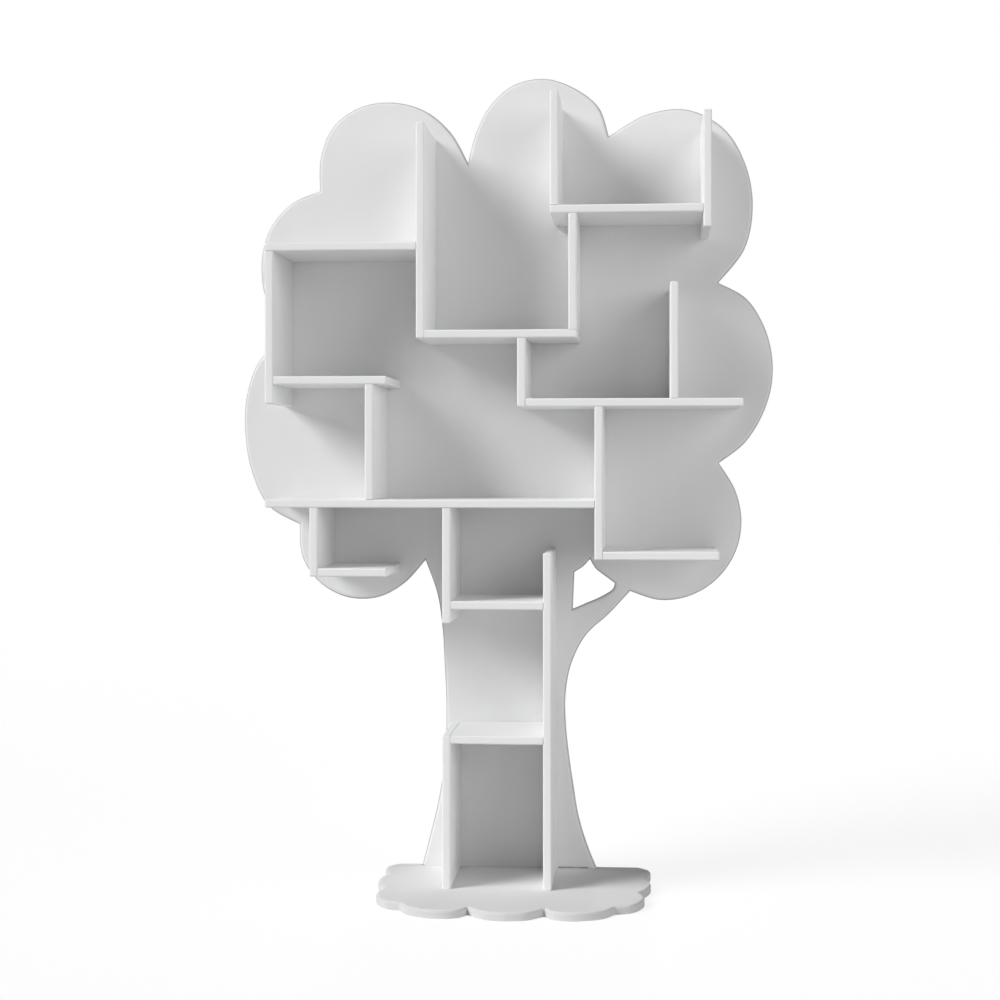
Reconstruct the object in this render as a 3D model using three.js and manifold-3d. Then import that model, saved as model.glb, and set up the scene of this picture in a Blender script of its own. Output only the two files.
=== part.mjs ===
// A free standing bookcase in the shape of a tree, in white lacquered board.
// Millimetres, +Z up, the front faces -Y. The origin lies on the floor under the trunk's centre line,
// in the plane where the boards meet the front of the back panel.
import * as THREE from "three";
import { mergeVertices } from "three/addons/utils/BufferGeometryUtils.js";
import Module from "manifold-3d";

const wasm = await Module();
wasm.setup();

// Sheet stock
const boardThickness = 16;
const boardDepth = 200;
const boardRound = 2;
const panelThickness = 16;
const panelRound = 7.5;
const baseThickness = 16;
const baseRound = 5;
const jointGap = 0.2;

// Overall sizes
const panelTop = 1610;
const crownHalfWidth = 536;
const baseHalfWidth = 266;
const baseDepth = 395;
const baseShift = 28;

// Relief under the panel's foot, from the trunk boards to a margin short of the foot's right corner
const reliefHeight = 2.5;
const reliefInset = 4;
const reliefMargin = 24;

// Assembly screws through the panel and the base, with countersunk heads and a hex socket
const screwLength = 50;
const screwShank = 5.5;
const screwHead = 10;
const screwHeadRim = 1;
const screwHeadDepth = 4;
const screwTip = 3;
const screwTipLength = 4;
const screwSocket = 4;
const screwSocketDepth = 2.5;
const screwSink = 0.5;
const screwClearance = 0.3;
const footScrewSpacing = 100;

// Flush wall plates with a keyhole, let into the back of the panel
const plateHeight = 70;
const plateWidth = 20;
const plateThickness = 2;
const plateSink = 0.3;
const plateClearance = 0.4;
const plateSpacing = 440;
const keyholeEye = 9;
const keyholeSlot = 4.5;
const keyholeRise = 10;
const keyholePocketDepth = 9;
const keyholePocketMargin = 1.5;
const plateScrewSpacing = 52;
const plateScrewLength = 13;
const plateScrewShank = 3;
const plateScrewHead = 7;
const plateScrewHeadRim = 0.4;
const plateScrewHeadDepth = 1.6;
const plateScrewTip = 1.2;
const plateScrewTipLength = 2.5;
const plateScrewSocket = 2.4;
const plateScrewSocketDepth = 0.9;
const plateScrewClearance = 0.3;

// Facets
const lobeSteps = 13;
const curveSteps = 18;
const scallopSteps = 5;
const roundSteps = 2;
const screwSides = 10;
const cutOverrun = 5;

// Left faces of the uprights and free ends of the shelves, as shares of the crown's half width
const columnShares = new Map([
  ["outerLeft", -0.84], ["lowerLeft", -0.677], ["innerLeft", -0.476], ["ledgeEnd", -0.397], ["tall", -0.291],
  ["trunkLeft", -0.196], ["middle", 0.073], ["trunkRight", 0.166], ["crownCentre", 0.19], ["centre", 0.256],
  ["lowerRight", 0.349], ["right", 0.6175], ["topRight", 0.735], ["lowerEnd", 0.793], ["middleEnd", 0.877],
]);

// Tops of the shelves and free ends of the uprights, as shares of the panel's height
const levelShares = new Map([
  ["trunkLower", 0.1925], ["trunkTopFoot", 0.3261], ["trunkUpper", 0.3528], ["lowerLeft", 0.3913],
  ["trunkHead", 0.4106], ["lowerRight", 0.4124], ["long", 0.4739], ["outerLeftFoot", 0.5888],
  ["rightMiddle", 0.5944], ["leftMiddle", 0.6217], ["centreUpper", 0.6764], ["rightHead", 0.7323],
  ["topLeft", 0.782], ["topRightFoot", 0.7963], ["topRight", 0.8242], ["tallHead", 0.9255],
  ["topRightHead", 0.9354], ["crownHead", 0.9609],
]);

// The tree's outline, clockwise from the left of the foot. Each stretch is one smooth curve that ends
// in a notch or corner. Across: shares of the crown's half width. Up: shares of the panel's height.
const footShares = [-0.321, 0.36];
const outlineShares = [
  [[-0.288, 0.0433], [-0.256, 0.0866], [-0.234, 0.1307], [-0.224, 0.1751], [-0.223, 0.2199],
    [-0.229, 0.2644], [-0.237, 0.3091], [-0.257, 0.353], [-0.302, 0.395]],
  [[-0.383, 0.3655], [-0.488, 0.3474], [-0.607, 0.3481], [-0.711, 0.3673], [-0.776, 0.4004],
    [-0.784, 0.4398]],
  [[-0.903, 0.4626], [-0.967, 0.504], [-0.994, 0.55], [-0.992, 0.5967], [-0.951, 0.6413],
    [-0.862, 0.677]],
  [[-0.903, 0.712], [-0.93, 0.7485], [-0.927, 0.7858], [-0.888, 0.8209], [-0.81, 0.8476],
    [-0.707, 0.8621]],
  [[-0.703, 0.905], [-0.653, 0.944], [-0.549, 0.968], [-0.422, 0.9731], [-0.299, 0.961],
    [-0.203, 0.933], [-0.14, 0.8957]],
  [[-0.109, 0.9337], [-0.053, 0.9683], [0.036, 0.9931], [0.152, 1], [0.264, 0.9875],
    [0.355, 0.9629], [0.392, 0.9267]],
  [[0.531, 0.9529], [0.687, 0.9585], [0.825, 0.9335], [0.905, 0.8877], [0.93, 0.8355],
    [0.899, 0.7838], [0.802, 0.7422]],
  [[0.904, 0.7229], [0.969, 0.6899], [1.001, 0.6518], [0.999, 0.6123], [0.962, 0.5746],
    [0.897, 0.5415], [0.804, 0.5174]],
  [[0.865, 0.4835], [0.888, 0.445], [0.866, 0.4065], [0.8, 0.3739], [0.701, 0.3524],
    [0.585, 0.3461], [0.472, 0.3571]],
  [[0.393, 0.3287], [0.307, 0.302], [0.253, 0.2675], [0.23, 0.2289], [0.231, 0.1897],
    [0.243, 0.1509], [0.26, 0.112], [0.28, 0.0734], [0.315, 0.0358]],
];

// The window between the trunk and its side branch, in the same shares, corner by corner
const windowShares = [
  [[0.257, 0.3348]],
  [[0.263, 0.3807]],
  [[0.295, 0.3876], [0.321, 0.3969]],
  [[0.343, 0.3851], [0.371, 0.3776], [0.414, 0.3671]],
  [[0.405, 0.359], [0.36, 0.3497], [0.308, 0.3422], [0.257, 0.3348]],
];

// Right half of the base's scalloped outline, from the back to the middle of the front. Across: shares
// of its half width. Back to front: shares of its depth.
const scallopShares = [
  [[0.929, 0]],
  [[0.992, 0.056], [0.996, 0.137], [0.955, 0.238]],
  [[0.992, 0.3], [1, 0.377], [0.97, 0.47], [0.917, 0.539]],
  [[0.955, 0.62], [0.94, 0.71], [0.87, 0.8], [0.752, 0.835]],
  [[0.684, 0.914], [0.58, 0.958], [0.45, 0.978], [0.331, 0.957], [0.267, 0.896]],
  [[0.15, 0.977], [0, 1]],
];

// Height of the wall plates, and places of the rear screws along the longest shelf and the others
const plateLevelShare = 0.87;
const longScrewShares = [0.25, 0.75];
const middleShares = [0.5];

const white = { color: 0xf2f3f4, roughness: 0.45, metalness: 0 };
const steel = { color: 0xb9bcc0, roughness: 0.35, metalness: 0.9 };

const group = new THREE.Group();

const across = (name) => columnShares.get(name) * crownHalfWidth;
const up = (name) => levelShares.get(name) * panelTop;

// The ends of a board: a free end is rounded like the long edges, an end that meets a board is square
const free = (at) => ({ at, square: false });
const square = (at) => ({ at, square: true });
const endAcross = (name) => free(across(name));
const endUp = (name) => free(up(name));
const flushUnder = (name) => free(up(name) - boardThickness);
const rightOf = (name) => square(across(name) + boardThickness + jointGap);
const leftOf = (name) => square(across(name) - jointGap);
const above = (name) => square(up(name) + jointGap);
const under = (name) => square(up(name) - boardThickness - jointGap);

function addMesh(name, geometry, look) {
  const mesh = new THREE.Mesh(geometry, new THREE.MeshStandardMaterial({ ...look, flatShading: true }));
  mesh.name = name;
  group.add(mesh);
  return mesh;
}

// Shared points merged and empty triangles dropped, so that the mesh closes
function toSolid(geometry) {
  geometry.deleteAttribute("normal");
  geometry.deleteAttribute("uv");
  const merged = mergeVertices(geometry);
  const corners = merged.index.array;
  const triangles = [];
  for (let i = 0; i < corners.length; i += 3) {
    const [a, b, c] = corners.slice(i, i + 3);
    if (a !== b && b !== c && c !== a) triangles.push(a, b, c);
  }
  return new wasm.Manifold(new wasm.Mesh({
    numProp: 3,
    vertProperties: new Float32Array(merged.attributes.position.array),
    triVerts: new Uint32Array(triangles),
  }));
}

function toGeometry(solid) {
  const mesh = solid.getMesh();
  const geometry = new THREE.BufferGeometry();
  geometry.setAttribute("position", new THREE.BufferAttribute(mesh.vertProperties, 3));
  geometry.setIndex(new THREE.BufferAttribute(mesh.triVerts, 1));
  geometry.computeVertexNormals();
  return geometry;
}

const cutAll = (solid, cutters) => cutters.reduce((left, cutter) => left.subtract(cutter), solid);

// A sheet with both long edges rounded, from 0 to its thickness along Z
function roundedSheet(shape, thickness, round, steps) {
  const sheet = new THREE.ExtrudeGeometry(shape, {
    depth: thickness - 2 * round,
    steps: 1,
    bevelEnabled: true,
    bevelThickness: round,
    bevelSize: round,
    bevelOffset: -round,
    bevelSegments: steps,
  });
  return sheet.translate(0, 0, round);
}

// What is sawn off past one face of a block that has the given size and middle
function offcut(size, middle, axis, side, width) {
  const spans = size.map((span, i) => (i === axis ? width : span + 2 * width));
  const place = middle.map((at, i) => (i === axis ? at + side * (size[i] + width) / 2 : at));
  return toSolid(new THREE.BoxGeometry(...spans).translate(...place));
}

// A sheet drawn as seen from the front, standing with its back at zero and its front at minus its thickness
function standingSheet(shape, thickness, round, steps) {
  return roundedSheet(shape, thickness, round, steps).rotateX(Math.PI / 2);
}

// A countersunk screw along Y, its head's face at zero and its tip on the minus side. The room around it
// is the same form made larger by the clearance, open past the head.
function screwProfile(size, clearance) {
  const points = [
    [0, -size.length - clearance],
    [size.tip / 2 + clearance, -size.length - clearance],
    [size.shank / 2 + clearance, -size.length + size.tipLength],
    [size.shank / 2 + clearance, -size.headDepth - clearance],
    [size.head / 2 + clearance, -size.headRim - clearance],
  ];
  const face = clearance > 0 ? cutOverrun : 0;
  points.push([size.head / 2 + clearance, face]);
  if (clearance === 0) points.push([size.socket / 2, face], [size.socket / 2, -size.socketDepth]);
  points.push([0, clearance > 0 ? face : -size.socketDepth]);
  return new THREE.LatheGeometry(points.map(([r, y]) => new THREE.Vector2(r, y)), screwSides);
}

const assemblyScrew = {
  length: screwLength, shank: screwShank, head: screwHead, headRim: screwHeadRim,
  headDepth: screwHeadDepth, tip: screwTip, tipLength: screwTipLength,
  socket: screwSocket, socketDepth: screwSocketDepth, clearance: screwClearance,
};
const plateScrew = {
  length: plateScrewLength, shank: plateScrewShank, head: plateScrewHead, headRim: plateScrewHeadRim,
  headDepth: plateScrewHeadDepth, tip: plateScrewTip, tipLength: plateScrewTipLength,
  socket: plateScrewSocket, socketDepth: plateScrewSocketDepth, clearance: plateScrewClearance,
};

// Everything that the panel and the base are cut by, filled in as the screws and plates are placed
const panelCutters = [];
const baseCutters = [];

// A screw from behind, its head sunk in the back of the panel. Its room is returned in the frame of a
// piece whose own origin lies at the given place.
function addRearScrew(name, x, z, headFace, size) {
  const screw = addMesh(name, screwProfile(size, 0), steel);
  screw.position.set(x, headFace, z);
  panelCutters.push(toSolid(screwProfile(size, size.clearance).translate(x, headFace, z)));
  return (originX, originY, originZ) =>
    toSolid(screwProfile(size, size.clearance).translate(x - originX, headFace - originY, z - originZ));
}

// A screw from below, its head sunk in the underside of the base
function addBaseScrew(name, x, y) {
  const screw = addMesh(name, screwProfile(assemblyScrew, 0), steel);
  screw.rotation.x = -Math.PI / 2;
  screw.position.set(x, y, screwSink);
  const room = () => screwProfile(assemblyScrew, screwClearance).rotateX(-Math.PI / 2);
  baseCutters.push(toSolid(room().translate(x, y, screwSink)));
  return (originX, originY, originZ) =>
    toSolid(room().translate(x - originX, y - originY, screwSink - originZ));
}

const rearScrewFace = panelThickness - screwSink;

// A rectangle with its corners cut
function cutRectangle(width, height, corner) {
  const x = width / 2;
  const z = height / 2;
  return new THREE.Shape([
    [-x + corner, -z], [x - corner, -z], [x, -z + corner], [x, z - corner],
    [x - corner, z], [-x + corner, z], [-x, z - corner], [-x, -z + corner],
  ].map((point) => new THREE.Vector2(...point)));
}

// A board seen from the front as a rectangle, its origin at the middle of its rear edge. The blank has all
// its edges rounded, runs past the rear edge and the square ends by the rounding, and is cut back there.
function addBoard(name, left, right, bottom, top, rooms) {
  const origin = [(left.at + right.at) / 2, -jointGap, (bottom.at + top.at) / 2];
  const size = [right.at - left.at, boardDepth, top.at - bottom.at];
  const middle = [0, -boardDepth / 2, 0];
  const past = (end) => (end.square ? boardRound : 0);
  const outline = cutRectangle(
    size[0] + past(left) + past(right),
    size[2] + past(bottom) + past(top),
    boardRound,
  );
  const blank = standingSheet(outline, boardDepth + boardRound, boardRound, 1)
    .translate((past(right) - past(left)) / 2, boardRound, (past(top) - past(bottom)) / 2);
  const sawn = [[left, 0, -1], [right, 0, 1], [bottom, 2, -1], [top, 2, 1], [square(0), 1, 1]]
    .filter(([end]) => end.square)
    .map(([, axis, side]) => offcut(size, middle, axis, side, boardRound + cutOverrun));
  const solid = cutAll(toSolid(blank), [...sawn, ...rooms.map((room) => room(...origin))]);
  addMesh(name, toGeometry(solid), white).position.set(...origin);
}

function addShelf(name, left, right, level, screwShares = middleShares) {
  const top = up(level);
  const z = top - boardThickness / 2;
  const rooms = screwShares.map((share, i) => {
    const number = screwShares.length > 1 ? `_${i + 1}` : "";
    const x = left.at + share * (right.at - left.at);
    return addRearScrew(`${name}_screw${number}`, x, z, rearScrewFace, assemblyScrew);
  });
  addBoard(name, left, right, free(top - boardThickness), free(top), rooms);
}

function addUpright(name, column, bottom, top, standsOnBase = false) {
  const left = across(column);
  const x = left + boardThickness / 2;
  const z = (bottom.at + top.at) / 2;
  const rooms = [addRearScrew(`${name}_screw`, x, z, rearScrewFace, assemblyScrew)];
  if (standsOnBase) rooms.push(addBaseScrew(`${name}_base_screw`, x, -boardDepth / 2));
  addBoard(name, free(left), free(left + boardThickness), bottom, top, rooms);
}

// The shelves, each with its left end, right end and level
addShelf("top_left_shelf", endAcross("outerLeft"), leftOf("tall"), "topLeft");
addShelf("top_right_shelf", endAcross("crownCentre"), leftOf("topRight"), "topRight");
addShelf("centre_upper_shelf", rightOf("tall"), free(across("centre") + boardThickness), "centreUpper");
addShelf("left_middle_shelf", rightOf("outerLeft"), endAcross("ledgeEnd"), "leftMiddle");
addShelf("right_middle_shelf", rightOf("middle"), endAcross("middleEnd"), "rightMiddle");
addShelf("long_middle_shelf", endAcross("outerLeft"), leftOf("lowerRight"), "long", longScrewShares);
addShelf("lower_right_shelf", rightOf("lowerRight"), endAcross("lowerEnd"), "lowerRight");
addShelf("lower_left_shelf", rightOf("lowerLeft"), endAcross("ledgeEnd"), "lowerLeft");
addShelf("trunk_upper_shelf", rightOf("trunkLeft"), leftOf("trunkRight"), "trunkUpper");
addShelf("trunk_lower_shelf", rightOf("trunkLeft"), leftOf("trunkRight"), "trunkLower");

// The uprights, each with its column, foot and head
const onBase = square(baseThickness + jointGap);
addUpright("outer_left_upright", "outerLeft", endUp("outerLeftFoot"), under("topLeft"));
addUpright("tall_upright", "tall", flushUnder("centreUpper"), endUp("tallHead"));
addUpright("crown_upright", "crownCentre", above("topRight"), endUp("crownHead"));
addUpright("centre_upright", "centre", above("centreUpper"), under("topRight"));
addUpright("top_right_upright", "topRight", endUp("topRightFoot"), endUp("topRightHead"));
addUpright("middle_upright", "middle", flushUnder("rightMiddle"), under("centreUpper"));
addUpright("right_upright", "right", above("rightMiddle"), endUp("rightHead"));
addUpright("inner_left_upright", "innerLeft", above("long"), under("leftMiddle"));
addUpright("lower_right_upright", "lowerRight", flushUnder("lowerRight"), under("rightMiddle"));
addUpright("lower_left_upright", "lowerLeft", flushUnder("lowerLeft"), under("long"));
addUpright("trunk_top_upright", "trunkLeft", endUp("trunkTopFoot"), under("long"));
addUpright("trunk_right_upright", "trunkRight", onBase, endUp("trunkHead"), true);
addUpright("trunk_left_upright", "trunkLeft", onBase, endUp("trunkLower"), true);

// Wall plates: a thin plate with a keyhole and two screws, in a pocket with room behind the keyhole
function keyhole(radius, slotRadius, rise) {
  const path = new THREE.Path();
  const meet = Math.asin(slotRadius / radius);
  path.absarc(0, 0, radius, Math.PI / 2 + meet, Math.PI / 2 - meet + 2 * Math.PI, false);
  path.absarc(0, rise, slotRadius, 0, Math.PI, false);
  path.closePath();
  return path;
}

function plateShape(width, height) {
  const shape = new THREE.Shape();
  const reach = height / 2 - width / 2;
  shape.absarc(0, reach, width / 2, 0, Math.PI, false);
  shape.absarc(0, -reach, width / 2, Math.PI, 2 * Math.PI, false);
  shape.closePath();
  return shape;
}

const plateFace = panelThickness - plateSink;
const facets = { bevelEnabled: false, steps: 1, curveSegments: screwSides };

function addWallPlate(name, x, z) {
  const shape = plateShape(plateWidth, plateHeight);
  shape.holes.push(keyhole(keyholeEye / 2, keyholeSlot / 2, keyholeRise));
  const blank = new THREE.ExtrudeGeometry(shape, { ...facets, depth: plateThickness }).rotateX(Math.PI / 2);
  const y = plateFace;
  const rooms = [-1, 1].map((side) => {
    const end = side < 0 ? "lower" : "upper";
    return addRearScrew(`${name}_screw_${end}`, x, z + side * plateScrewSpacing / 2, plateFace, plateScrew);
  });
  const solid = cutAll(toSolid(blank), rooms.map((room) => room(x, y, z)));
  addMesh(name, toGeometry(solid), steel).position.set(x, y, z);

  const growth = 2 * plateClearance;
  const pocket = plateShape(plateWidth + growth, plateHeight + growth);
  const pocketDepth = plateThickness + plateSink + plateClearance;
  panelCutters.push(toSolid(new THREE.ExtrudeGeometry(pocket, { ...facets, depth: pocketDepth + cutOverrun })
    .rotateX(Math.PI / 2).translate(x, panelThickness + cutOverrun, z)));
  const eyeRadius = keyholeEye / 2 + keyholePocketMargin;
  const room = new THREE.Shape();
  room.absarc(0, keyholeRise, eyeRadius, 0, Math.PI, false);
  room.absarc(0, 0, eyeRadius, Math.PI, 2 * Math.PI, false);
  room.closePath();
  const roomDepth = keyholePocketDepth + cutOverrun;
  panelCutters.push(toSolid(new THREE.ExtrudeGeometry(room, { ...facets, depth: roomDepth })
    .rotateX(Math.PI / 2).translate(x, panelThickness + cutOverrun, z)));
}

const plateLevel = plateLevelShare * panelTop;
addWallPlate("wall_plate_left", -plateSpacing / 2, plateLevel);
addWallPlate("wall_plate_right", plateSpacing / 2, plateLevel);

// The back panel, one cut sheet: crown, trunk, side branch and window
const treePoint = ([x, z]) => new THREE.Vector2(x * crownHalfWidth, z * panelTop);

function smoothStretch(start, points, steps) {
  return new THREE.SplineCurve([start, ...points]).getSpacedPoints(steps);
}

function treeOutline() {
  const [footLeft, footRight] = footShares.map((share) => treePoint([share, 0]));
  const points = [footLeft];
  outlineShares.forEach((stretch, i) => {
    const isTrunk = i === 0 || i === outlineShares.length - 1;
    const through = stretch.map(treePoint);
    if (i === outlineShares.length - 1) through.push(footRight);
    const start = points[points.length - 1];
    points.push(...smoothStretch(start, through, isTrunk ? curveSteps : lobeSteps).slice(1));
  });
  return new THREE.Shape(points);
}

function windowOutline() {
  const points = windowShares[0].map(treePoint);
  windowShares.slice(1).forEach((stretch) => {
    const start = points[points.length - 1];
    const steps = stretch.length > 1 ? scallopSteps : 1;
    points.push(...smoothStretch(start, stretch.map(treePoint), steps).slice(1));
  });
  return new THREE.Path(points.slice(0, -1).reverse());
}

function addPanel() {
  const shape = treeOutline();
  shape.holes.push(windowOutline());
  const blank = standingSheet(shape, panelThickness, panelRound, roundSteps).translate(0, panelThickness, 0);
  const footLevel = baseThickness + jointGap;
  const wide = 2 * crownHalfWidth;
  const deep = 2 * (panelThickness + cutOverrun);
  const below = new THREE.BoxGeometry(wide, deep, footLevel + cutOverrun)
    .translate(0, 0, (footLevel - cutOverrun) / 2);
  const reliefLeft = across("trunkRight") + boardThickness + reliefInset;
  const reliefRight = footShares[1] * crownHalfWidth - reliefMargin;
  const relief = new THREE.BoxGeometry(reliefRight - reliefLeft, deep, reliefHeight)
    .translate((reliefLeft + reliefRight) / 2, 0, footLevel + reliefHeight / 2);
  const solid = cutAll(toSolid(blank), [toSolid(below), toSolid(relief), ...panelCutters]);
  addMesh("back_panel", toGeometry(solid), white);
}

// Screws up through the base into the panel's foot
const footRooms = [-1, 1].map((side) => {
  const end = side < 0 ? "left" : "right";
  return addBaseScrew(`panel_foot_screw_${end}`, side * footScrewSpacing / 2, panelThickness / 2);
});
panelCutters.push(...footRooms.map((room) => room(0, 0, 0)));
addPanel();

// The base, one scalloped sheet, rounded above and sharp below, cut square behind, flush with the panel
function baseOutline() {
  const corner = ([x, y]) => new THREE.Vector2(x * baseHalfWidth, panelThickness - y * baseDepth);
  const half = scallopShares[0].map(corner);
  half.unshift(half[0].clone().add(new THREE.Vector2(0, baseRound)));
  scallopShares.slice(1).forEach((stretch) => {
    const start = half[half.length - 1];
    half.push(...smoothStretch(start, stretch.map(corner), scallopSteps).slice(1));
  });
  const mirrored = half.slice(0, -1).reverse().map((point) => new THREE.Vector2(-point.x, point.y));
  return new THREE.Shape([...half, ...mirrored]);
}

function addBase() {
  const size = [2 * baseHalfWidth, baseDepth, baseThickness];
  const middle = [baseShift, panelThickness - baseDepth / 2, baseThickness / 2];
  const blank = roundedSheet(baseOutline(), baseThickness + baseRound, baseRound, roundSteps)
    .translate(baseShift, 0, -baseRound);
  const sawn = [[1, 1], [2, -1]]
    .map(([axis, side]) => offcut(size, middle, axis, side, baseRound + cutOverrun));
  addMesh("base_plate", toGeometry(cutAll(toSolid(blank), [...sawn, ...baseCutters])), white);
}

addBase();

export default group;
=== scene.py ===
# Looks for a white tree shaped bookcase: lacquered board, rounded cut edges, zinc plated fasteners.
# Metres, +Z up, the front faces -Y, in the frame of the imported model.
import math
import bmesh
import bpy
from mathutils import Matrix, Vector


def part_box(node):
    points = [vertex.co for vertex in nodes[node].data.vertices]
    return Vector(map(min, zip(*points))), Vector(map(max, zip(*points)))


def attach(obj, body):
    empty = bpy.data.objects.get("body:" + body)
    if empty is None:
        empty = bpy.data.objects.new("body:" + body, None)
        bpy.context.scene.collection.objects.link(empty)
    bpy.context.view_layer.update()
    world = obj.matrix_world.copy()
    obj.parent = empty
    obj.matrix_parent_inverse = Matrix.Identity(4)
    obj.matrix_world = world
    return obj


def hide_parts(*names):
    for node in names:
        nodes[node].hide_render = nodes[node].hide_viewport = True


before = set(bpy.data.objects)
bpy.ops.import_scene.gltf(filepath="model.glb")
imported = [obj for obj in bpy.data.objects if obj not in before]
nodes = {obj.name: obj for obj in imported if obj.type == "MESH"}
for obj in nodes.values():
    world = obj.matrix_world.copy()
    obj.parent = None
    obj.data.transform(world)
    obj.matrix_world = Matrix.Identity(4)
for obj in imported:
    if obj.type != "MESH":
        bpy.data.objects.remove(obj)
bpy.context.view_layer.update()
mm = 0.001
print("Frame loaded:", len(nodes), "pieces")

# Camera
cameraView = {
    "lens": 66.64,
    "sensor": 36,
    "place": (0.287, -3.733, 0.836),
    "turn": 4.54,  # degrees to the left of straight on
    "shift": -0.0384,
}


def addCamera(view):
    data = bpy.data.cameras.new("camera")
    data.lens = view["lens"]
    data.sensor_width = view["sensor"]
    data.shift_y = view["shift"]
    camera = bpy.data.objects.new("camera", data)
    camera.location = view["place"]
    camera.rotation_euler = (math.radians(90), 0, math.radians(view["turn"]))
    bpy.context.scene.collection.objects.link(camera)
    bpy.context.scene.camera = camera


addCamera(cameraView)


# Node trees
def addNode(tree, kind, **values):
    node = tree.nodes.new(kind)
    for name, value in values.items():
        setattr(node, name, value)
    return node


def feed(tree, socket, source):
    if isinstance(source, bpy.types.NodeSocket):
        tree.links.new(source, socket)
    else:
        socket.default_value = source


def doMath(tree, operation, first, second=0.0, clamp=False):
    node = addNode(tree, "ShaderNodeMath", operation=operation, use_clamp=clamp)
    feed(tree, node.inputs[0], first)
    feed(tree, node.inputs[1], second)
    return node.outputs[0]


def mapRange(tree, value, fromLow, fromHigh, toLow, toHigh, kind="SMOOTHSTEP"):
    node = addNode(tree, "ShaderNodeMapRange", interpolation_type=kind)
    for socket, source in zip(node.inputs, (value, fromLow, fromHigh, toLow, toHigh)):
        feed(tree, socket, source)
    return node.outputs[0]


def mixColours(tree, factor, first, second):
    node = addNode(tree, "ShaderNodeMix", data_type="RGBA")
    feed(tree, node.inputs[0], factor)
    feed(tree, node.inputs[6], first)
    feed(tree, node.inputs[7], second)
    return node.outputs[2]


def addNoise(tree, place, scale, detail=2.0, rough=0.5):
    node = addNode(tree, "ShaderNodeTexNoise")
    feed(tree, node.inputs["Vector"], place)
    feed(tree, node.inputs["Scale"], scale)
    node.inputs["Detail"].default_value = detail
    node.inputs["Roughness"].default_value = rough
    return node.outputs[0]


def startGroup(name, inputs, outputs):
    tree = bpy.data.node_groups.new(name, "ShaderNodeTree")
    for label, kind, value in inputs:
        socket = tree.interface.new_socket(label, in_out="INPUT", socket_type=kind)
        socket.default_value = value
    for label, kind in outputs:
        tree.interface.new_socket(label, in_out="OUTPUT", socket_type=kind)
    return tree, tree.nodes.new("NodeGroupInput").outputs, tree.nodes.new("NodeGroupOutput").inputs


def placeGroup(tree, group, **values):
    node = addNode(tree, "ShaderNodeGroup", node_tree=group)
    for label, value in values.items():
        feed(tree, node.inputs[label], value)
    return node.outputs


number = "NodeSocketFloat"


# Sprayed lacquer: orange peel and fine dust nibs as height, cloudy tone and gloss
def makeLacquerSkin():
    tree, given, out = startGroup(
        "lacquerSkin",
        [("peelScale", number, 500.0), ("cloudScale", number, 4.0), ("streakScale", number, 60.0)],
        [("Height", number), ("Tone", number), ("Gloss", number)],
    )
    place = addNode(tree, "ShaderNodeTexCoord").outputs["Object"]
    peel = addNoise(tree, place, given["peelScale"], 2.0, 0.45)
    nibs = addNoise(tree, place, doMath(tree, "MULTIPLY", given["peelScale"], 3.3), 1.0, 0.5)
    nibs = mapRange(tree, nibs, 0.66, 0.8, 0.0, 0.5)
    streak = addNode(tree, "ShaderNodeMapping")
    feed(tree, streak.inputs["Vector"], place)
    streak.inputs["Scale"].default_value = (1.0, 1.0, 0.06)
    streaks = addNoise(tree, streak.outputs[0], given["streakScale"], 3.0, 0.6)
    clouds = addNoise(tree, place, given["cloudScale"], 4.0, 0.55)
    feed(tree, out["Height"], doMath(tree, "ADD", peel, nibs))
    tone = doMath(tree, "ADD", doMath(tree, "MULTIPLY", clouds, 0.7), doMath(tree, "MULTIPLY", streaks, 0.3))
    feed(tree, out["Tone"], mapRange(tree, tone, 0.3, 0.7, 0.0, 1.0, "LINEAR"))
    gloss = doMath(tree, "ADD", doMath(tree, "MULTIPLY", streaks, 0.6), doMath(tree, "MULTIPLY", peel, 0.4))
    feed(tree, out["Gloss"], mapRange(tree, gloss, 0.3, 0.7, 0.0, 1.0, "LINEAR"))
    return tree


# Rubbed edges: where the surface turns within the radius, broken up by noise
def makeEdgeWear():
    tree, given, out = startGroup(
        "edgeWear",
        [("Radius", number, 0.002), ("Breakup", number, 90.0), ("Amount", number, 1.0)],
        [("Mask", number)],
    )
    bevel = addNode(tree, "ShaderNodeBevel", samples=4)
    feed(tree, bevel.inputs["Radius"], given["Radius"])
    geometry = addNode(tree, "ShaderNodeNewGeometry")
    turn = addNode(tree, "ShaderNodeVectorMath", operation="DOT_PRODUCT")
    feed(tree, turn.inputs[0], bevel.outputs[0])
    feed(tree, turn.inputs[1], geometry.outputs["Normal"])
    edge = mapRange(tree, turn.outputs["Value"], 0.999, 0.93, 0.0, 1.0)
    place = addNode(tree, "ShaderNodeTexCoord").outputs["Object"]
    broken = mapRange(tree, addNoise(tree, place, given["Breakup"], 4.0, 0.6), 0.42, 0.62, 0.15, 1.0)
    mask = doMath(tree, "MULTIPLY", edge, broken)
    feed(tree, out["Mask"], doMath(tree, "MULTIPLY", mask, given["Amount"], clamp=True))
    return tree


# Dust that settles in inner corners, together with painted shade: an occlusion mask greys the colour where inner
# corners and recesses fall into shade
def makeCornerDustAndShade():
    tree, given, out = startGroup(
        "cornerDustAndShade",
        [("Reach", number, 0.02), ("Amount", number, 1.0)],
        [("Mask", number)],
    )
    hollow = addNode(tree, "ShaderNodeAmbientOcclusion", samples=6, only_local=False)
    feed(tree, hollow.inputs["Distance"], given["Reach"])
    place = addNode(tree, "ShaderNodeTexCoord").outputs["Object"]
    specks = mapRange(tree, addNoise(tree, place, 35.0, 5.0, 0.65), 0.35, 0.7, 0.4, 1.0)
    corner = mapRange(tree, hollow.outputs["AO"], 0.95, 0.45, 0.0, 1.0)
    mask = doMath(tree, "MULTIPLY", corner, specks)
    feed(tree, out["Mask"], doMath(tree, "MULTIPLY", mask, given["Amount"], clamp=True))
    return tree
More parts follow.
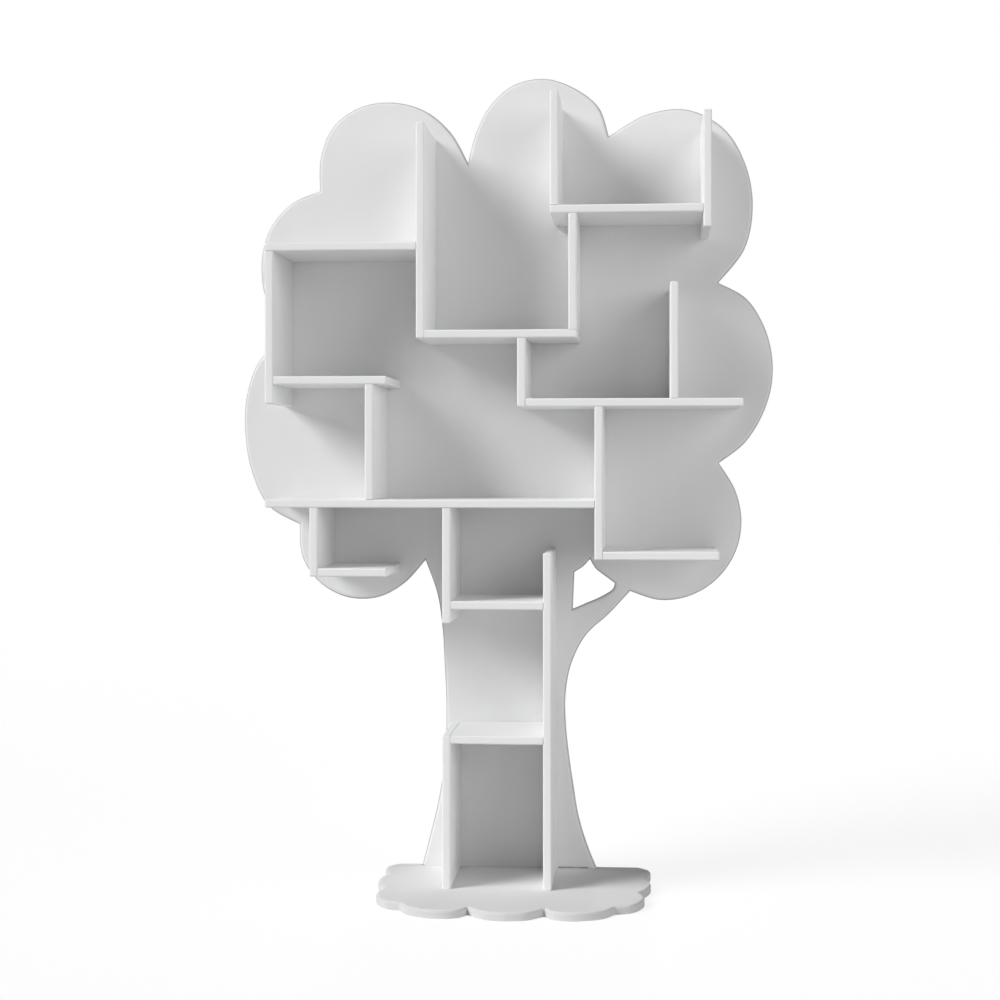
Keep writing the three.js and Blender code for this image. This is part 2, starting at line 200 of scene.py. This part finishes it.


# Painted shade on the rims: a mask by depth below the nearer face greys the edge colour, for the darker band where
# the rounded edge turns away from the light
def makePaintedEdgeShade():
    tree, given, out = startGroup(
        "paintedEdgeShade",
        [("Depth", number, 0.0), ("Thickness", number, 0.016), ("Start", number, 0.001), ("Full", number, 0.0025)],
        [("Mask", number)],
    )
    fromBack = doMath(tree, "SUBTRACT", given["Thickness"], given["Depth"])
    below = doMath(tree, "MINIMUM", given["Depth"], fromBack)
    feed(tree, out["Mask"], mapRange(tree, below, given["Start"], given["Full"], 0.0, 1.0))
    return tree


lacquerSkin = makeLacquerSkin()
edgeWear = makeEdgeWear()
cornerDustAndShade = makeCornerDustAndShade()
paintedEdgeShade = makePaintedEdgeShade()


def startMaterial(name):
    material = bpy.data.materials.new(name)
    material.use_nodes = True
    tree = material.node_tree
    return material, tree, tree.nodes["Principled BSDF"].inputs


def addBump(tree, normal, height, strength, distance):
    bump = addNode(tree, "ShaderNodeBump")
    bump.inputs["Strength"].default_value = strength
    bump.inputs["Distance"].default_value = distance
    feed(tree, bump.inputs["Height"], height)
    feed(tree, normal, bump.outputs[0])


# White satin lacquer, with its own values for each kind of board
panelFinish = {
    "white": (0.87, 0.872, 0.876, 1), "cloud": (0.845, 0.846, 0.85, 1), "rubbed": (0.9, 0.9, 0.895, 1),
    # The dust tone is a grey-beige that stands for dust and also paints shade into inner corners
    "dustAndShade": (0.72, 0.715, 0.7, 1), "dustAndShadeAmount": 0.25, "dustAndShadeReach": 0.015,
    "gloss": (0.48, 0.62), "specular": 0.25, "coat": 0.02, "coatRoughness": 0.3,
    "peelScale": 420.0, "peelHeight": 0.00012, "peelStrength": 0.35, "cloudScale": 3.0, "streakScale": 45.0,
    "wearRadius": 0.004, "wearBreakup": 70.0, "wearAmount": 0.5, "dustAndShadeRoughness": 0.3,
    # The edge tone is a grey that paints shade on the panel's rim and window edge
    "depthAxis": "Y", "edge": (0.55, 0.55, 0.555, 1), "edgeStart": 1 * mm, "edgeFull": 2.5 * mm,
}
boardFinish = {
    **panelFinish, "peelScale": 520.0, "peelHeight": 0.0001, "wearRadius": 0.0015, "wearAmount": 0.7,
    "depthAxis": None, "white": (0.905, 0.906, 0.91, 1), "cloud": (0.885, 0.886, 0.89, 1),
}
baseFinish = {
    **panelFinish, "white": (0.9, 0.901, 0.905, 1), "cloud": (0.88, 0.881, 0.885, 1),
    "gloss": (0.7, 0.82), "specular": 0.04, "coat": 0.0, "peelScale": 380.0,
    "dustAndShadeAmount": 0.35, "dustAndShadeReach": 0.02, "wearAmount": 0.6,
    # The edge tone is a grey that paints shade on the base's sides
    "depthAxis": "Z", "edge": (0.72, 0.72, 0.725, 1), "edgeStart": 0.2 * mm, "edgeFull": 1.5 * mm,
}


def makeLacquer(name, finish):
    material, tree, inputs = startMaterial(name)
    scales = {name: finish[name] for name in ("peelScale", "cloudScale", "streakScale")}
    skin = placeGroup(tree, lacquerSkin, **scales)
    wear = placeGroup(tree, edgeWear, Radius=finish["wearRadius"], Breakup=finish["wearBreakup"],
                      Amount=finish["wearAmount"])
    dustAndShade = placeGroup(tree, cornerDustAndShade, Reach=finish["dustAndShadeReach"], Amount=finish["dustAndShadeAmount"])
    colour = mixColours(tree, skin["Tone"], finish["white"], finish["cloud"])
    colour = mixColours(tree, wear["Mask"], colour, finish["rubbed"])
    if finish["depthAxis"]:
        place = addNode(tree, "ShaderNodeSeparateXYZ")
        feed(tree, place.inputs[0], addNode(tree, "ShaderNodeTexCoord").outputs["Object"])
        depth = place.outputs[finish["depthAxis"]]
        edgeShade = placeGroup(tree, paintedEdgeShade, Depth=depth, Start=finish["edgeStart"], Full=finish["edgeFull"])
        # Painted shade: the rims and sides are mixed towards the grey edge tone
        colour = mixColours(tree, edgeShade["Mask"], colour, finish["edge"])
    # Painted shade: inner corners and recesses are greyed by the occlusion mask, which also stands for dust
    colour = mixColours(tree, dustAndShade["Mask"], colour, finish["dustAndShade"])
    feed(tree, inputs["Base Color"], colour)
    low, high = finish["gloss"]
    rough = mapRange(tree, skin["Gloss"], 0.0, 1.0, low, high, "LINEAR")
    rough = doMath(tree, "ADD", rough, doMath(tree, "MULTIPLY", dustAndShade["Mask"], finish["dustAndShadeRoughness"]), clamp=True)
    feed(tree, inputs["Roughness"], rough)
    inputs["Specular IOR Level"].default_value = finish["specular"]
    inputs["Coat Weight"].default_value = finish["coat"]
    inputs["Coat Roughness"].default_value = finish["coatRoughness"]
    addBump(tree, inputs["Normal"], skin["Height"], finish["peelStrength"], finish["peelHeight"])
    return material


# Bright zinc plating: blue to straw tint, spangle and fine turned scratches
zincFinish = {
    "blue": (0.60, 0.63, 0.67, 1), "straw": (0.70, 0.67, 0.58, 1), "worn": (0.80, 0.80, 0.80, 1),
    "gloss": (0.22, 0.42), "tintScale": 120.0, "spangleScale": 900.0,
    "scratchScale": 2500.0, "scratchStrength": 0.4, "scratchHeight": 0.00003,
    "wearRadius": 0.0006, "wearBreakup": 400.0, "wearAmount": 0.9,
}


def makeZinc(name, finish):
    material, tree, inputs = startMaterial(name)
    place = addNode(tree, "ShaderNodeTexCoord").outputs["Object"]
    tint = mapRange(tree, addNoise(tree, place, finish["tintScale"], 3.0, 0.6), 0.35, 0.65, 0.0, 1.0)
    wear = placeGroup(tree, edgeWear, Radius=finish["wearRadius"], Breakup=finish["wearBreakup"],
                      Amount=finish["wearAmount"])
    colour = mixColours(tree, tint, finish["blue"], finish["straw"])
    feed(tree, inputs["Base Color"], mixColours(tree, wear["Mask"], colour, finish["worn"]))
    inputs["Metallic"].default_value = 1.0
    spangle = addNode(tree, "ShaderNodeTexVoronoi")
    feed(tree, spangle.inputs["Vector"], place)
    spangle.inputs["Scale"].default_value = finish["spangleScale"]
    low, high = finish["gloss"]
    feed(tree, inputs["Roughness"], mapRange(tree, spangle.outputs["Distance"], 0.0, 0.8, low, high, "LINEAR"))
    scratches = addNoise(tree, place, finish["scratchScale"], 3.0, 0.6)
    addBump(tree, inputs["Normal"], scratches, finish["scratchStrength"], finish["scratchHeight"])
    return material


panelLacquer = makeLacquer("panelLacquer", panelFinish)
boardLacquer = makeLacquer("boardLacquer", boardFinish)
baseLacquer = makeLacquer("baseLacquer", baseFinish)
zincPlating = makeZinc("zincPlating", zincFinish)
print("Materials made")


# Outlines
def splinePoint(points, i, t):
    a = points[max(i - 1, 0)]
    b, c = points[i], points[i + 1]
    d = points[min(i + 2, len(points) - 1)]
    slopeB, slopeC = (c - a) / 2, (d - b) / 2
    return ((2 * b - 2 * c + slopeB + slopeC) * t ** 3
            + (3 * c - 3 * b - 2 * slopeB - slopeC) * t ** 2 + slopeB * t + b)


# A smooth curve through the points, cut into equal steps
def smoothStretch(points, step):
    fine = 24
    dense = [splinePoint(points, i, j / fine) for i in range(len(points) - 1) for j in range(fine)]
    dense.append(points[-1])
    runs = [0.0]
    for a, b in zip(dense, dense[1:]):
        runs.append(runs[-1] + (b - a).length)
    count = max(2, round(runs[-1] / step))
    made, at = [], 0
    for k in range(1, count):
        goal = runs[-1] * k / count
        while runs[at + 1] < goal:
            at += 1
        share = (goal - runs[at]) / (runs[at + 1] - runs[at])
        made.append(dense[at].lerp(dense[at + 1], share))
    return made + [points[-1]]


# Each edge of a closed loop moves to its left by its own weight, and the corners are met again
def insetLoop(loop, weights, distance):
    sides = []
    for a, b in zip(loop, loop[1:] + loop[:1]):
        run = (b - a).normalized()
        sides.append(Vector((-run.y, run.x)))
    moved = []
    for i, point in enumerate(loop):
        before, after = sides[i - 1], sides[i]
        first, second = weights[i - 1] * distance, weights[i] * distance
        turn = before.x * after.y - before.y * after.x
        if abs(turn) < 0.02:
            moved.append(point + (before + after).normalized() * (first + second) / 2)
        else:
            shift = Vector((first * after.y - second * before.y, second * before.x - first * after.x))
            moved.append(point + shift / turn)
    return moved


def circleLoop(centre, radius, count=32):
    turns = [-2 * math.pi * i / count for i in range(count)]
    return [centre + radius * Vector((math.cos(a), math.sin(a))) for a in turns]


def stadiumLoop(centre, width, height, count=32):
    reach = (height - width) / 2
    loop = []
    for end, start in ((1, math.pi), (-1, 2 * math.pi)):
        for i in range(count // 2 + 1):
            a = start - math.pi * i / (count // 2)
            loop.append(centre + Vector((math.cos(a), math.sin(a))) * width / 2 + Vector((0, end * reach)))
    return loop


# Sheets: loops of points at given depths, bridged ring by ring and closed by flat caps
class Sheet:
    def __init__(self, place):
        self.mesh = bmesh.new()
        self.place = place

    def addRing(self, loop, depth):
        return [(self.mesh.verts.new(self.place(point, depth)), point) for point in loop]

    def bridge(self, rings):
        for low, high in zip(rings, rings[1:]):
            for i in range(len(low)):
                corners = (low[i - 1][0], low[i][0], high[i][0], high[i - 1][0])
                self.mesh.faces.new(corners)

    # A flat face inside the first ring, open inside the others
    def cap(self, rings):
        edges = [self.mesh.edges.get((ring[i - 1][0], ring[i][0])) for ring in rings for i in range(len(ring))]
        bmesh.ops.triangle_fill(self.mesh, edges=edges, use_beauty=True)

    # A rim round the outline or a window, rounded at the front face and at the back
    def addRim(self, loop, weights, thickness, roundings, steps):
        turns = [math.pi / 2 * i / steps for i in range(steps + 1)]
        first, last = roundings
        front = [(first * (1 - math.sin(a)), first * (1 - math.cos(a))) for a in turns]
        back = [(last * (1 - math.sin(a)), thickness - last * (1 - math.cos(a))) for a in reversed(turns)]
        rings = [self.addRing(insetLoop(loop, weights, inset), depth) for inset, depth in front + back]
        self.bridge(rings)
        return rings[0], rings[-1]

    # A round or stepped hole, as pairs of radius and depth
    def addBore(self, centre, steps):
        rings = [self.addRing(circleLoop(centre, radius), depth) for radius, depth in steps]
        self.bridge(rings)
        return rings[0], rings[-1]

    def toMesh(self, name):
        bmesh.ops.recalc_face_normals(self.mesh, faces=self.mesh.faces)
        data = bpy.data.meshes.new(name)
        self.mesh.to_mesh(data)
        self.mesh.free()
        return data

    def finish(self, name, material):
        return addPiece(name, self.toMesh(name), material)


def addPiece(name, data, material):
    data.materials.append(material)
    data.shade_smooth()
    piece = bpy.data.objects.new(name, data)
    bpy.context.scene.collection.objects.link(piece)
    normals = piece.modifiers.new("flatFaces", "WEIGHTED_NORMAL")
    normals.keep_sharp = False
    return piece


def standFor(piece, slot, *replaced):
    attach(piece, "root")
    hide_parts(*replaced)


# Fasteners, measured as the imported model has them
screwShape = {
    "length": 50 * mm, "shank": 5.5 * mm, "head": 10 * mm, "headRim": 1 * mm, "headDepth": 4 * mm,
    "tip": 3 * mm, "tipLength": 4 * mm, "key": 4 * mm, "keyDepth": 2.5 * mm, "clearance": 0.3 * mm,
    "rimBreak": 0.15 * mm, "sides": 40,
}
plateScrewShape = {
    "length": 13 * mm, "shank": 3 * mm, "head": 7 * mm, "headRim": 0.4 * mm, "headDepth": 1.6 * mm,
    "tip": 1.2 * mm, "tipLength": 2.5 * mm, "key": 2.4 * mm, "keyDepth": 0.9 * mm, "clearance": 0.3 * mm,
    "rimBreak": 0.15 * mm, "sides": 40,
}


def screwBore(shape, face, bottom):
    room = shape["clearance"]
    wide, narrow = shape["head"] / 2 + room, shape["shank"] / 2 + room
    return [(narrow, bottom), (narrow, face - shape["headDepth"] - room),
            (wide, face - shape["headRim"] - room), (wide, face)]


def middleOf(node):
    low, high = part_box(node)
    return (low + high) / 2


rearScrews = [name for name in nodes if "_screw" in name and "plate" not in name
              and "base_screw" not in name and "foot_screw" not in name]
baseScrews = [name for name in nodes if "base_screw" in name or "foot_screw" in name]
plateScrews = [name for name in nodes if "wall_plate" in name and "_screw" in name]
wallPlates = [name for name in nodes if "wall_plate" in name and "_screw" not in name]

# The tree panel. Across: shares of the crown's half width. Up: shares of the height.
treeShape = {
    "halfWidth": 0.536,
    "height": 1.61,
    "thickness": 16 * mm,
    "roundings": (7.5 * mm, 7.5 * mm),
    "roundSteps": 6,
    "step": 5 * mm,
    "foot": (-0.321, 0.36),
    "footLevel": 16.2 * mm,
    "reliefHeight": 2.5 * mm,
    "reliefInset": 4 * mm,
    "reliefMargin": 24 * mm,
    "stretches": [
        [(-0.288, 0.0433), (-0.256, 0.0866), (-0.234, 0.1307), (-0.224, 0.1751), (-0.223, 0.2199),
         (-0.229, 0.2644), (-0.237, 0.3091), (-0.257, 0.353), (-0.302, 0.395)],
        [(-0.383, 0.3655), (-0.488, 0.3474), (-0.607, 0.3481), (-0.711, 0.3673), (-0.776, 0.4004),
         (-0.784, 0.4398)],
        [(-0.903, 0.4626), (-0.967, 0.504), (-0.994, 0.55), (-0.992, 0.5967), (-0.951, 0.6413), (-0.862, 0.677)],
        [(-0.903, 0.712), (-0.93, 0.7485), (-0.927, 0.7858), (-0.888, 0.8209), (-0.81, 0.8476), (-0.707, 0.8621)],
        [(-0.703, 0.905), (-0.653, 0.944), (-0.549, 0.968), (-0.422, 0.9731), (-0.299, 0.961), (-0.203, 0.933),
         (-0.14, 0.8957)],
        [(-0.109, 0.9337), (-0.053, 0.9683), (0.036, 0.9931), (0.152, 1), (0.264, 0.9875), (0.355, 0.9629),
         (0.392, 0.9267)],
        [(0.531, 0.9529), (0.687, 0.9585), (0.825, 0.9335), (0.905, 0.8877), (0.93, 0.8355), (0.899, 0.7838),
         (0.802, 0.7422)],
        [(0.904, 0.7229), (0.969, 0.6899), (1.001, 0.6518), (0.999, 0.6123), (0.962, 0.5746), (0.897, 0.5415),
         (0.804, 0.5174)],
        [(0.865, 0.4835), (0.888, 0.445), (0.866, 0.4065), (0.8, 0.3739), (0.701, 0.3524), (0.585, 0.3461),
         (0.472, 0.3571)],
        [(0.393, 0.3287), (0.307, 0.302), (0.253, 0.2675), (0.23, 0.2289), (0.231, 0.1897), (0.243, 0.1509),
         (0.26, 0.112), (0.28, 0.0734), (0.315, 0.0358)],
    ],
    "window": [
        [(0.257, 0.3348)], [(0.263, 0.3807)], [(0.295, 0.3876), (0.321, 0.3969)],
        [(0.343, 0.3851), (0.371, 0.3776), (0.414, 0.3671)],
        [(0.405, 0.359), (0.36, 0.3497), (0.308, 0.3422), (0.257, 0.3348)],
    ],
}


def treePoint(share):
    return Vector((share[0] * treeShape["halfWidth"], share[1] * treeShape["height"]))


# The outline runs against the clock, so that its left is the material. The foot's edges don't move.
def treeOutline(shape):
    points = [treePoint((shape["foot"][0], 0))]
    for i, stretch in enumerate(shape["stretches"]):
        through = [points[-1]] + [treePoint(share) for share in stretch]
        if i == len(shape["stretches"]) - 1:
            through.append(treePoint((shape["foot"][1], 0)))
        points += smoothStretch(through, shape["step"])
    level = shape["footLevel"]
    above = [point for point in points if point.y > level + mm]
    left = crossing(points, level, range(len(points) - 1))
    right = crossing(points, level, reversed(range(len(points) - 1)))
    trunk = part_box("trunk_right_upright")[1].x
    reliefLeft = trunk + shape["reliefInset"]
    reliefRight = treePoint((shape["foot"][1], 0)).x - shape["reliefMargin"]
    top = level + shape["reliefHeight"]
    foot = [right, Vector((reliefRight, level)), Vector((reliefRight, top)),
            Vector((reliefLeft, top)), Vector((reliefLeft, level)), left]
    loop = above + foot
    weights = [1] * len(above) + [0] * (len(foot) - 1) + [1]
    return loop[::-1], weights[-2::-1] + weights[-1:]


# Where the outline passes a level
def crossing(points, level, order):
    for i in order:
        a, b = points[i], points[i + 1]
        if (a.y - level) * (b.y - level) <= 0 and a.y != b.y:
            return a.lerp(b, (level - a.y) / (b.y - a.y))


def windowLoop(shape):
    points = [treePoint(shape["window"][0][0])]
    for stretch in shape["window"][1:]:
        points += smoothStretch([points[-1]] + [treePoint(share) for share in stretch], shape["step"])
    return points[:-1]


# The room behind a wall plate: a pocket with a keyhole's room and the screws' holes in its floor
plateShape = {
    "clearance": 0.4 * mm, "thickness": 2 * mm, "sink": 0.3 * mm, "eye": 9 * mm, "slot": 4.5 * mm, "rise": 10 * mm,
    "roomMargin": 1.5 * mm, "roomDepth": 9 * mm, "roundings": (0.25 * mm, 0.25 * mm),
}


def addPocket(sheet, node, shape, back):
    low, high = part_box(node)
    centre = Vector(((low.x + high.x) / 2, (low.z + high.z) / 2))
    grown = 2 * shape["clearance"]
    loop = stadiumLoop(centre, high.x - low.x + grown, high.z - low.z + grown)
    floor = back - shape["thickness"] - shape["sink"] - shape["clearance"]
    mouth, ground = sheet.addRing(loop, back), sheet.addRing(loop, floor)
    sheet.bridge([ground, mouth])
    eye = shape["eye"] + 2 * shape["roomMargin"]
    roomLoop = stadiumLoop(centre + Vector((0, shape["rise"] / 2)), eye, eye + shape["rise"])
    roomTop, roomEnd = sheet.addRing(roomLoop, floor), sheet.addRing(roomLoop, back - shape["roomDepth"])
    sheet.bridge([roomEnd, roomTop])
    sheet.cap([roomEnd])
    holes = [roomTop]
    for screw in plateScrews:
        if screw.startswith(node):
            middle = middleOf(screw)
            radius = plateScrewShape["shank"] / 2 + plateScrewShape["clearance"]
            end, top = sheet.addBore(Vector((middle.x, middle.z)), [(radius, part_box(screw)[0].y), (radius, floor)])
            sheet.cap([end])
            holes.append(top)
    sheet.cap([ground] + holes)
    return mouth


def addTreePanel(shape):
    back = shape["thickness"]
    sheet = Sheet(lambda point, depth: (point.x, depth, point.y))
    loop, weights = treeOutline(shape)
    fronts, backs = [], []
    for rim, weight in ((loop, weights), (windowLoop(shape), None)):
        front, rear = sheet.addRim(rim, weight or [1] * len(rim), back, shape["roundings"], shape["roundSteps"])
        fronts.append(front)
        backs.append(rear)
    for name in rearScrews:
        middle = middleOf(name)
        front, rear = sheet.addBore(Vector((middle.x, middle.z)), screwBore(screwShape, back, 0.0))
        fronts.append(front)
        backs.append(rear)
    backs += [addPocket(sheet, name, plateShape, back) for name in wallPlates]
    sheet.cap(fronts)
    sheet.cap(backs)
    standFor(sheet.finish("treePanel", panelLacquer), "white_lacquer", "back_panel")


addTreePanel(treeShape)
print("Tree panel made")

# The scalloped base: right half from the back to the middle of the front. Across: shares of the half
# width. Back to front: shares of the depth.
baseShape = {
    "halfWidth": 0.266,
    "depth": 0.395,
    "shift": 28 * mm,
    "thickness": 16 * mm,
    "roundings": (1 * mm, 5 * mm),  # underside and top
    "roundSteps": 6,
    "step": 4 * mm,
    "stretches": [
        [(0.929, 0)],
        [(0.992, 0.056), (0.996, 0.137), (0.955, 0.238)],
        [(0.992, 0.3), (1, 0.377), (0.97, 0.47), (0.917, 0.539)],
        [(0.955, 0.62), (0.94, 0.71), (0.87, 0.8), (0.752, 0.835)],
        [(0.684, 0.914), (0.58, 0.958), (0.45, 0.978), (0.331, 0.957), (0.267, 0.896)],
        [(0.15, 0.977), (0, 1)],
    ],
}


def baseLoop(shape):
    back = treeShape["thickness"]

    def corner(share):
        return Vector((share[0] * shape["halfWidth"], back - share[1] * shape["depth"]))

    half = [corner(shape["stretches"][0][0])]
    for stretch in shape["stretches"][1:]:
        half += smoothStretch([half[-1]] + [corner(share) for share in stretch], shape["step"])
    mirrored = [Vector((-point.x, point.y)) for point in reversed(half[:-1])]
    shift = Vector((shape["shift"], 0))
    return [point + shift for point in reversed(half + mirrored)]


def addBase(shape):
    top = shape["thickness"]
    sheet = Sheet(lambda point, depth: (point.x, point.y, depth))
    loop = baseLoop(shape)
    weights = [1] * (len(loop) - 1) + [0]
    front, rear = sheet.addRim(loop, weights, top, shape["roundings"], shape["roundSteps"])
    lows, highs = [front], [rear]
    for name in baseScrews:
        middle = middleOf(name)
        steps = [(radius, top - depth) for radius, depth in screwBore(screwShape, top, 0.0)]
        high, low = sheet.addBore(Vector((middle.x, middle.y)), steps)
        highs.append(high)
        lows.append(low)
    sheet.cap(lows)
    sheet.cap(highs)
    standFor(sheet.finish("scallopedBase", baseLacquer), "white_lacquer", "base_plate")


addBase(baseShape)
print("Base made")


# Boards keep their own solids: their eased edges get a soft break
boardEdges = {"weld": 0.00001, "width": 0.0008, "segments": 2, "turn": 30}  # turn: least angle in degrees


def dressBoards(edges):
    for name, board in nodes.items():
        if "shelf" not in name and "upright" not in name or "screw" in name:
            continue
        board.material_slots[0].material = boardLacquer
        weld = board.modifiers.new("weld", "WELD")
        weld.merge_threshold = edges["weld"]
        soft = board.modifiers.new("softEdges", "BEVEL")
        soft.width = edges["width"]
        soft.segments = edges["segments"]
        soft.limit_method = "ANGLE"
        soft.angle_limit = math.radians(edges["turn"])
        normals = board.modifiers.new("flatFaces", "WEIGHTED_NORMAL")
        normals.keep_sharp = False


dressBoards(boardEdges)
print("Boards dressed")


# Screws: a turned countersunk body with a hexagon socket, its head's face at zero and its tip below
def screwMesh(name, shape):
    sheet = Sheet(lambda point, height: (point.x, point.y, height))
    centre = Vector((0, 0))
    head, rim, shank = shape["head"] / 2, shape["headRim"], shape["shank"] / 2
    soft = shape["rimBreak"]
    steps = [(shape["tip"] / 2, -shape["length"]), (shank, -shape["length"] + shape["tipLength"]),
             (shank, -shape["headDepth"]), (head, -rim), (head, -soft), (head - soft, 0.0)]
    rings = [sheet.addRing(circleLoop(centre, radius, shape["sides"]), height) for radius, height in steps]
    sheet.bridge(rings)
    sheet.cap([rings[0]])
    hexagon = circleLoop(centre, shape["key"] / math.sqrt(3), 6)
    mouth, floor = sheet.addRing(hexagon, 0.0), sheet.addRing(hexagon, -shape["keyDepth"])
    sheet.bridge([floor, mouth])
    sheet.cap([floor])
    sheet.cap([rings[-1], mouth])
    return sheet.toMesh(name)


def addScrews(names, shape, turn, headFace):
    for i, name in enumerate(names):
        piece = addPiece(name + "_turned", screwMesh(name, shape), zincPlating)
        spin = Matrix.Rotation(math.radians(37 * i), 4, "Z")
        piece.matrix_world = Matrix.Translation(headFace(name)) @ turn @ spin
        standFor(piece, "zinc_steel", name)


def rearFace(name):
    middle = middleOf(name)
    return Vector((middle.x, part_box(name)[1].y, middle.z))


def underFace(name):
    middle = middleOf(name)
    return Vector((middle.x, middle.y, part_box(name)[0].z))


toBack = Matrix.Rotation(math.radians(-90), 4, "X")
toFloor = Matrix.Rotation(math.radians(180), 4, "X")
addScrews(rearScrews, screwShape, toBack, rearFace)
addScrews(plateScrews, plateScrewShape, toBack, rearFace)
addScrews(baseScrews, screwShape, toFloor, underFace)
print("Screws made")


# Wall plates with a keyhole
def keyholeLoop(centre, shape):
    eye, slot = shape["eye"] / 2, shape["slot"] / 2
    meet = math.asin(slot / eye)
    eyeSteps, slotSteps = 24, 16
    loop = []
    for i in range(eyeSteps + 1):
        a = math.pi / 2 - meet - (2 * math.pi - 2 * meet) * i / eyeSteps
        loop.append(centre + eye * Vector((math.cos(a), math.sin(a))))
    for i in range(slotSteps + 1):
        a = math.pi - math.pi * i / slotSteps
        loop.append(centre + Vector((slot * math.cos(a), shape["rise"] + slot * math.sin(a))))
    return loop


def addWallPlates(shape):
    for name in wallPlates:
        low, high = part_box(name)
        centre = Vector(((low.x + high.x) / 2, (low.z + high.z) / 2))
        sheet = Sheet(lambda point, depth: (point.x, low.y + depth, point.y))
        thick = high.y - low.y
        outer = stadiumLoop(centre, high.x - low.x, high.z - low.z)[::-1]
        rims = [sheet.addRim(loop, [1] * len(loop), thick, shape["roundings"], 2)
                for loop in (outer, keyholeLoop(centre, shape))]
        for screw in plateScrews:
            if screw.startswith(name):
                middle = middleOf(screw)
                rims.append(sheet.addBore(Vector((middle.x, middle.z)), screwBore(plateScrewShape, thick, 0.0)))
        sheet.cap([front for front, rear in rims])
        sheet.cap([rear for front, rear in rims])
        standFor(sheet.finish(name + "_pressed", zincPlating), "zinc_steel", name)


addWallPlates(plateShape)
print("Wall plates made")


# A pale floor that keeps the shadow, and a white surround
floorLook = {"size": 30, "colour": (0.86, 0.86, 0.86, 1), "seenColour": (0.2, 0.2, 0.2, 1), "lift": 0.84}


def addFloor(look):
    material, tree, inputs = startMaterial("paleFloor")
    path = addNode(tree, "ShaderNodeLightPath")
    colour = mixColours(tree, path.outputs["Is Camera Ray"], look["colour"], look["seenColour"])
    feed(tree, inputs["Base Color"], colour)
    inputs["Roughness"].default_value = 0.9
    inputs["Specular IOR Level"].default_value = 0.1
    glow = addNode(tree, "ShaderNodeEmission")
    feed(tree, glow.inputs["Strength"], doMath(tree, "MULTIPLY", path.outputs["Is Camera Ray"], look["lift"]))
    both = addNode(tree, "ShaderNodeAddShader")
    feed(tree, both.inputs[0], tree.nodes["Principled BSDF"].outputs[0])
    feed(tree, both.inputs[1], glow.outputs[0])
    feed(tree, tree.nodes["Material Output"].inputs["Surface"], both.outputs[0])
    data = bpy.data.meshes.new("floor")
    half = look["size"] / 2
    corners = [(-half, -half, 0), (half, -half, 0), (half, half, 0), (-half, half, 0)]
    data.from_pydata(corners, [], [(0, 1, 2, 3)])
    data.materials.append(material)
    floor = bpy.data.objects.new("floor", data)
    bpy.context.scene.collection.objects.link(floor)


addFloor(floorLook)

# Light: directions are the way that the light travels
lampSettings = {
    "key": {"travel": (1.0, 0.55, -0.72), "strength": 2.76, "angle": 30},
    "fill": {"travel": (-1.0, 0.7, -0.15), "strength": 1.63, "angle": 60},
    "rear": {"travel": (0.0, -1.0, 0.0), "strength": 2.4, "angle": 5},
}
surround = {"seen": 1.0, "ambient": 0.02}


def addLamps(settings):
    for name, lamp in settings.items():
        data = bpy.data.lights.new(name, "SUN")
        data.energy = lamp["strength"]
        data.angle = math.radians(lamp["angle"])
        sun = bpy.data.objects.new(name, data)
        sun.rotation_euler = Vector(lamp["travel"]).to_track_quat("-Z", "Y").to_euler()
        bpy.context.scene.collection.objects.link(sun)


def addSurround(look):
    world = bpy.data.worlds.new("surround")
    bpy.context.scene.world = world
    world.use_nodes = True
    tree = world.node_tree
    path = addNode(tree, "ShaderNodeLightPath").outputs
    seen = doMath(tree, "MAXIMUM", path["Is Camera Ray"], path["Is Glossy Ray"])
    seen = doMath(tree, "MAXIMUM", seen, path["Is Transmission Ray"])
    ambient = tree.nodes["Background"]
    ambient.inputs["Color"].default_value = (1, 1, 1, 1)
    ambient.inputs["Strength"].default_value = look["ambient"]
    bright = addNode(tree, "ShaderNodeBackground")
    bright.inputs["Color"].default_value = (1, 1, 1, 1)
    bright.inputs["Strength"].default_value = look["seen"]
    choice = addNode(tree, "ShaderNodeMixShader")
    feed(tree, choice.inputs[0], seen)
    feed(tree, choice.inputs[1], ambient.outputs[0])
    feed(tree, choice.inputs[2], bright.outputs[0])
    feed(tree, tree.nodes["World Output"].inputs["Surface"], choice.outputs[0])


addLamps(lampSettings)
addSurround(surround)
bpy.context.scene.view_settings.view_transform = "Standard"
print("Floor and light set")
